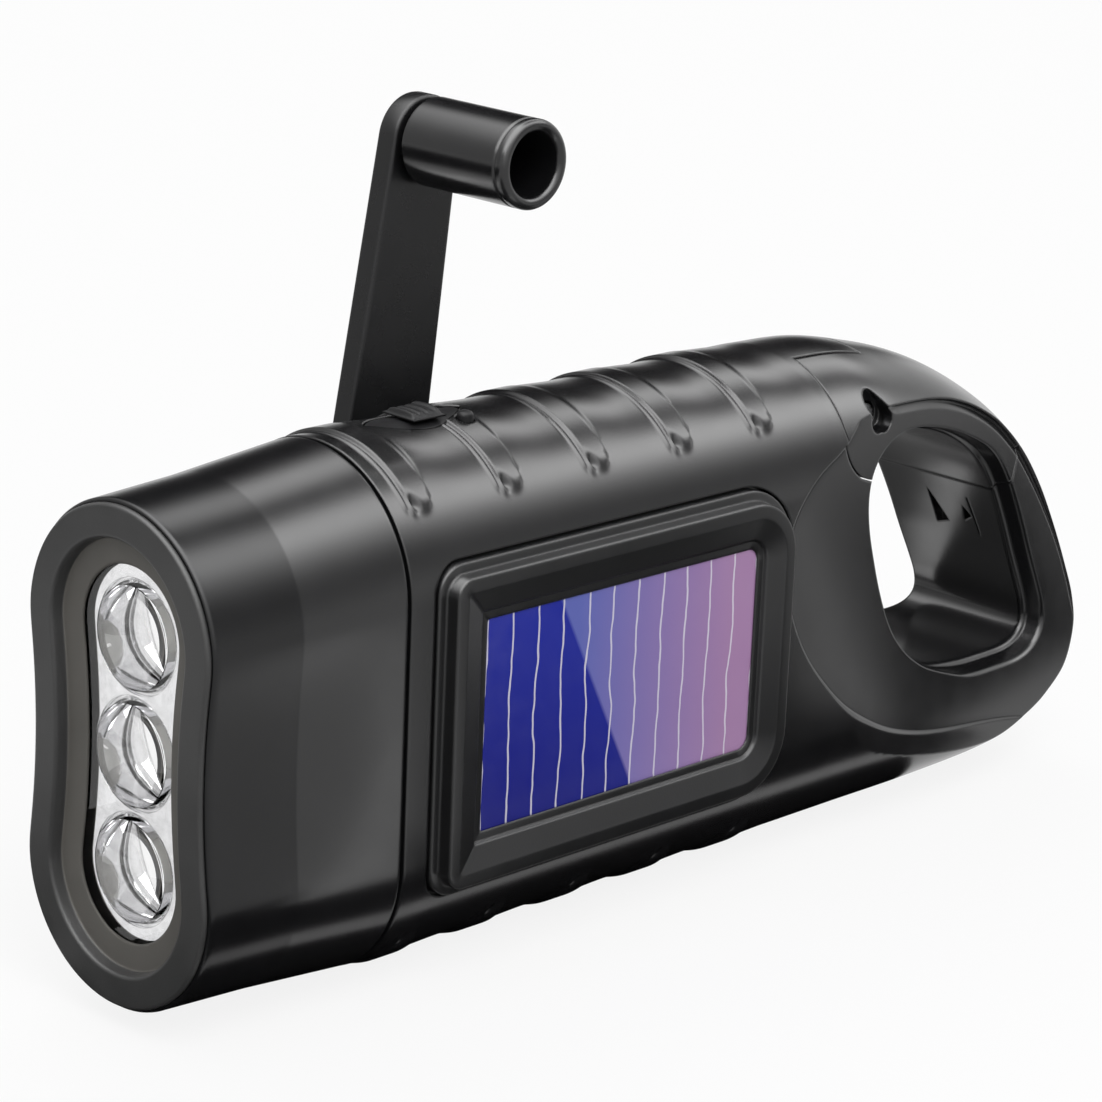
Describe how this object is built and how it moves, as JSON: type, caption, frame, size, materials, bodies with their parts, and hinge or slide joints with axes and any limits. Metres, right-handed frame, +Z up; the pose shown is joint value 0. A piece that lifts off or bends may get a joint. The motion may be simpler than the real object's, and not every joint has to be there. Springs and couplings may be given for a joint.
{
  "type": "hand crank flashlight",
  "caption": "Black pocket flashlight with a three-lens head, a solar panel on one side, a folding hand crank on the other and a carabiner tail with a sprung gate.",
  "frame": {"origin": "bottom centre of the bounding box", "axes": "+X from the lens end to the carabiner tail, +Y to the crank side, +Z up"},
  "size_m": [0.1404, 0.0322, 0.0836],
  "materials": {
    "gloss_black": "polished moulded plastic",
    "satin_black": "satin moulded plastic",
    "rim_grey": "satin grey moulded plastic",
    "clear_lens": "clear polished plastic",
    "chromed": "bright vacuum-coated plastic",
    "steel": "plated steel",
    "brass": "machined",
    "gear_white": "natural moulded gear plastic",
    "solar_cell": "blue cells under clear resin",
    "board_green": "coated circuit board",
    "copper": "enamelled copper wire",
    "magnet": "sintered magnet",
    "led_resin": "clear resin",
    "battery_wrap": "shrink-wrapped cells"
  },
  "bodies": {
    "body": {"front_bezel": "rim_grey", "lens_plate": "clear_lens", "reflector": "chromed", "led_board": "board_green", "led_1": "led_resin", "led_2": "led_resin", "led_3": "led_resin", "head_shell": "gloss_black", "main_housing": "gloss_black", "crank_side_cover": "gloss_black", "case_screw_1": "steel", "case_screw_2": "steel", "case_screw_3": "steel", "case_screw_4": "steel", "gate_pin": "steel", "gate_spring": "steel", "solar_frame": "satin_black", "solar_cell": "solar_cell", "solar_backing_board": "board_green", "switch_plate": "satin_black", "switch_body": "satin_black", "charge_indicator": "satin_black", "hub_bush": "brass", "gear_axle_1": "steel", "gear_axle_2": "steel", "gear_plate": "satin_black", "stator_can": "steel", "coil_winding": "copper", "circuit_board": "board_green", "battery_pack": "battery_wrap"},
    "crank_hub": {"crank_hub": "satin_black", "arm_hinge_pin": "steel", "drive_gear": "gear_white", "drive_gear_screw": "steel"},
    "crank_arm": {"crank_arm": "satin_black", "knob_pin": "steel"},
    "knob": {"crank_knob": "gloss_black"},
    "gear_1": {"compound_gear_1": "gear_white"},
    "gear_2": {"compound_gear_2": "gear_white"},
    "rotor": {"rotor_pinion": "brass", "rotor_shaft": "steel", "rotor_magnet": "magnet"},
    "gate": {"gate": "gloss_black"},
    "switch_slider": {"switch_slider": "satin_black"}
  },
  "joints": [
    {"name": "crank_turn", "type": "hinge", "parent": "body", "child": "crank_hub", "pos_m": [-0.02561, 0.01315, 0.0313], "axis": [0, 1, 0], "range_deg": [-60, 44]},
    {"name": "arm_fold", "type": "hinge", "parent": "crank_hub", "child": "crank_arm", "pos_m": [-0.02561, 0.0148, 0.0313], "axis": [-0.9898, 0, 0.1426], "range_deg": [0, 180]},
    {"name": "knob_spin", "type": "hinge", "parent": "crank_arm", "child": "knob", "pos_m": [-0.01875, 0.0055, 0.07891], "axis": [0, 1, 0], "continuous": true},
    {"name": "gear_1_spin", "type": "hinge", "parent": "body", "child": "gear_1", "pos_m": [-0.01086, 0.00735, 0.02098], "axis": [0, 1, 0], "continuous": true},
    {"name": "gear_2_spin", "type": "hinge", "parent": "body", "child": "gear_2", "pos_m": [0.00426, 0.00575, 0.02648], "axis": [0, 1, 0], "continuous": true},
    {"name": "rotor_spin", "type": "hinge", "parent": "body", "child": "rotor", "pos_m": [-0.00365, -0.00085, 0.01518], "axis": [0, 1, 0], "continuous": true},
    {"name": "gate_swing", "type": "hinge", "parent": "body", "child": "gate", "pos_m": [0.02599, -0.00005, 0.0477], "axis": [0, 1, 0], "range_deg": [0, 22], "stiffness_Nm_per_rad": 0.02, "springref_deg": -28.65},
    {"name": "switch_slide", "type": "slide", "parent": "body", "child": "switch_slider", "axis": [1, 0, 0], "range_m": [0, 0.002]}
  ],
  "couplings": [
    {"joint": "gear_1_spin", "follows": "crank_turn", "ratio": -3},
    {"joint": "gear_2_spin", "follows": "crank_turn", "ratio": 10.8},
    {"joint": "rotor_spin", "follows": "crank_turn", "ratio": -38.88}
  ]
}
